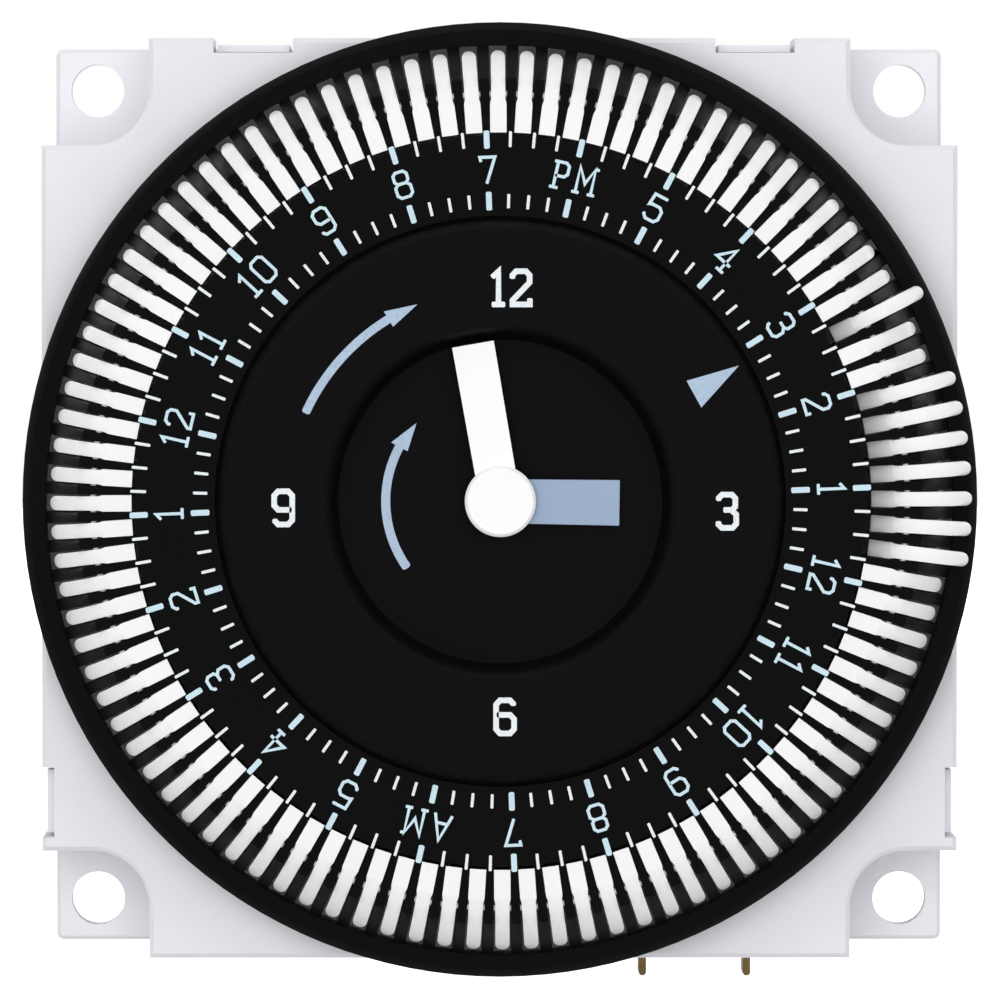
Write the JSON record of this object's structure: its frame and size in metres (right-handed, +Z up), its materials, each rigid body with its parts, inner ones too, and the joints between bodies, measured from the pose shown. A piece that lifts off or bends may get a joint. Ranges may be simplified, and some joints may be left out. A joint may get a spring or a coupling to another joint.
{
  "type": "programmable timer",
  "caption": "Panel-mounted daily timer: square snap-together case with corner fixing holes, tappet dial with a small clock in its centre, push-on tabs below.",
  "frame": {"origin": "on the dial's axis, in the plane of the case's back", "axes": "+Z up to 12 o'clock, -Y out of the dial to the front, +X to 3 o'clock"},
  "size_m": [0.062, 0.0375, 0.0632],
  "materials": {
    "case_plastic": "fine moulded satin",
    "dial_plastic": "fine moulded satin",
    "plate_plastic": "fine moulded satin",
    "tappet_plastic": "smooth moulded",
    "white_hand": "painted",
    "grey_hand": "painted",
    "gear_plastic": "natural acetal",
    "plate_frame": "glass filled nylon",
    "steel": "bright",
    "magnet": "ground ferrite",
    "copper_wire": "enamelled copper wire",
    "brass": "rolled strip",
    "board": "lacquered glass epoxy",
    "component": "epoxy coating",
    "chip": "moulded",
    "can": "drawn can"
  },
  "bodies": {
    "root": {"rear_housing": "case_plastic", "front_cover": "case_plastic", "centre_plate": "plate_plastic", "train_plate": "plate_frame", "train_bridge": "plate_frame", "bridge_screws": "steel", "movement_plate": "plate_frame", "movement_pillars": "plate_frame", "movement_screws": "steel", "stator": "steel", "coil_bobbin": "plate_frame", "coil_winding": "copper_wire", "stator_screws": "steel", "circuit_board": "board", "board_screws": "steel", "capacitor": "component", "control_chip": "chip", "quartz_crystal": "can", "lever_pin": "steel", "lever_spring": "steel", "motor_terminals": "brass", "common_terminal": "brass", "fixed_contact": "brass"},
    "dial": {"programme_dial": "dial_plastic", "dial_gear_ring": "gear_plastic", "tappet_ring": "steel", "tappets_00_to_03": "tappet_plastic", "tappets_03_to_06": "tappet_plastic", "tappets_06_to_09": "tappet_plastic", "tappets_09_to_12": "tappet_plastic", "tappets_15_to_18": "tappet_plastic", "tappets_18_to_21": "tappet_plastic", "tappets_21_to_24": "tappet_plastic"},
    "tappet_12_00": {"tappet_12_00": "tappet_plastic"},
    "tappet_12_15": {"tappet_12_15": "tappet_plastic"},
    "tappet_12_30": {"tappet_12_30": "tappet_plastic"},
    "tappet_12_45": {"tappet_12_45": "tappet_plastic"},
    "tappet_13_00": {"tappet_13_00": "tappet_plastic"},
    "tappet_13_15": {"tappet_13_15": "tappet_plastic"},
    "tappet_13_30": {"tappet_13_30": "tappet_plastic"},
    "tappet_13_45": {"tappet_13_45": "tappet_plastic"},
    "tappet_14_00": {"tappet_14_00": "tappet_plastic"},
    "tappet_14_15": {"tappet_14_15": "tappet_plastic"},
    "tappet_14_30": {"tappet_14_30": "tappet_plastic"},
    "tappet_14_45": {"tappet_14_45": "tappet_plastic"},
    "minute": {"minute_hand": "white_hand", "minute_arbor": "steel", "cannon_pinion": "gear_plastic", "clutch_spring": "brass"},
    "hour": {"hour_hand": "grey_hand", "hour_wheel": "gear_plastic"},
    "change": {"minute_wheel": "gear_plastic"},
    "drive": {"dial_drive_wheel": "gear_plastic"},
    "centre": {"centre_wheel": "gear_plastic"},
    "third": {"third_wheel": "gear_plastic"},
    "second": {"second_wheel": "gear_plastic"},
    "rotor": {"rotor_magnet": "magnet", "rotor_pinion": "gear_plastic"},
    "lever": {"follower_lever": "gear_plastic"},
    "blade": {"moving_contact": "brass"}
  },
  "joints": [
    {"name": "dial_spin", "type": "hinge", "parent": "root", "child": "dial", "pos_m": [0, -0.036, 0], "axis": [0, 1, 0], "continuous": true},
    {"name": "tappet_12_00_tilt", "type": "hinge", "parent": "dial", "child": "tappet_12_00", "pos_m": [0.02582, -0.036, -0.005], "axis": [-0.19, 0, -0.9818], "range_deg": [0, 41]},
    {"name": "tappet_12_15_tilt", "type": "hinge", "parent": "dial", "child": "tappet_12_15", "pos_m": [0.02609, -0.036, -0.0033], "axis": [-0.1254, 0, -0.9921], "range_deg": [-41, 0]},
    {"name": "tappet_12_30_tilt", "type": "hinge", "parent": "dial", "child": "tappet_12_30", "pos_m": [0.02625, -0.036, -0.00158], "axis": [-0.0603, 0, -0.9982], "range_deg": [-41, 0]},
    {"name": "tappet_12_45_tilt", "type": "hinge", "parent": "dial", "child": "tappet_12_45", "pos_m": [0.0263, -0.036, 0.00014], "axis": [0.0051, 0, -1], "range_deg": [-41, 0]},
    {"name": "tappet_13_00_tilt", "type": "hinge", "parent": "dial", "child": "tappet_13_00", "pos_m": [0.02623, -0.036, 0.00186], "axis": [0.0705, 0, -0.9975], "range_deg": [-41, 0]},
    {"name": "tappet_13_15_tilt", "type": "hinge", "parent": "dial", "child": "tappet_13_15", "pos_m": [0.02606, -0.036, 0.00357], "axis": [0.1356, 0, -0.9908], "range_deg": [-41, 0]},
    {"name": "tappet_13_30_tilt", "type": "hinge", "parent": "dial", "child": "tappet_13_30", "pos_m": [0.02577, -0.036, 0.00526], "axis": [0.2001, 0, -0.9798], "range_deg": [-41, 0]},
    {"name": "tappet_13_45_tilt", "type": "hinge", "parent": "dial", "child": "tappet_13_45", "pos_m": [0.02537, -0.036, 0.00694], "axis": [0.2638, 0, -0.9646], "range_deg": [-41, 0]},
    {"name": "tappet_14_00_tilt", "type": "hinge", "parent": "dial", "child": "tappet_14_00", "pos_m": [0.02486, -0.036, 0.00858], "axis": [0.3263, 0, -0.9453], "range_deg": [0, 41]},
    {"name": "tappet_14_15_tilt", "type": "hinge", "parent": "dial", "child": "tappet_14_15", "pos_m": [0.02425, -0.036, 0.01019], "axis": [0.3874, 0, -0.9219], "range_deg": [0, 41]},
    {"name": "tappet_14_30_tilt", "type": "hinge", "parent": "dial", "child": "tappet_14_30", "pos_m": [0.02353, -0.036, 0.01175], "axis": [0.4469, 0, -0.8946], "range_deg": [-41, 0]},
    {"name": "tappet_14_45_tilt", "type": "hinge", "parent": "dial", "child": "tappet_14_45", "pos_m": [0.02271, -0.036, 0.01327], "axis": [0.5045, 0, -0.8634], "range_deg": [0, 41]},
    {"name": "minute_spin", "type": "hinge", "parent": "root", "child": "minute", "pos_m": [0, -0.036, 0], "axis": [0, 1, 0], "continuous": true},
    {"name": "hour_spin", "type": "hinge", "parent": "root", "child": "hour", "pos_m": [0, -0.036, 0], "axis": [0, 1, 0], "continuous": true},
    {"name": "change_spin", "type": "hinge", "parent": "root", "child": "change", "pos_m": [-0.00152, -0.03, -0.00734], "axis": [0, 1, 0], "continuous": true},
    {"name": "drive_spin", "type": "hinge", "parent": "root", "child": "drive", "pos_m": [-0.01126, -0.028, -0.01126], "axis": [0, 1, 0], "continuous": true},
    {"name": "centre_spin", "type": "hinge", "parent": "root", "child": "centre", "pos_m": [0, -0.018, 0], "axis": [0, 1, 0], "continuous": true},
    {"name": "third_spin", "type": "hinge", "parent": "root", "child": "third", "pos_m": [-0.00925, -0.017, 0], "axis": [0, 1, 0], "continuous": true},
    {"name": "second_spin", "type": "hinge", "parent": "root", "child": "second", "pos_m": [-0.01265, -0.018, 0.00589], "axis": [0, 1, 0], "continuous": true},
    {"name": "rotor_spin", "type": "hinge", "parent": "root", "child": "rotor", "pos_m": [-0.01265, -0.017, 0.01269], "axis": [0, 1, 0], "continuous": true},
    {"name": "lever_swing", "type": "hinge", "parent": "root", "child": "lever", "pos_m": [0.021, -0.0232, 0.002], "axis": [0, 1, 0], "range_deg": [0, 5.8], "stiffness_Nm_per_rad": 0.001, "springref_deg": 17.19},
    {"name": "blade_flex", "type": "hinge", "parent": "root", "child": "blade", "pos_m": [0.01012, -0.0188, -0.0175], "axis": [0, 1, 0], "range_deg": [-10.6, 0.1]}
  ],
  "couplings": [
    {"joint": "minute_spin", "follows": "dial_spin", "ratio": 24},
    {"joint": "hour_spin", "follows": "dial_spin", "ratio": 2},
    {"joint": "change_spin", "follows": "dial_spin", "ratio": -6},
    {"joint": "drive_spin", "follows": "dial_spin", "ratio": 8},
    {"joint": "third_spin", "follows": "centre_spin", "ratio": -6.4},
    {"joint": "second_spin", "follows": "centre_spin", "ratio": 48},
    {"joint": "rotor_spin", "follows": "centre_spin", "ratio": -360},
    {"joint": "blade_flex", "follows": "lever_swing", "ratio": -1.8}
  ]
}
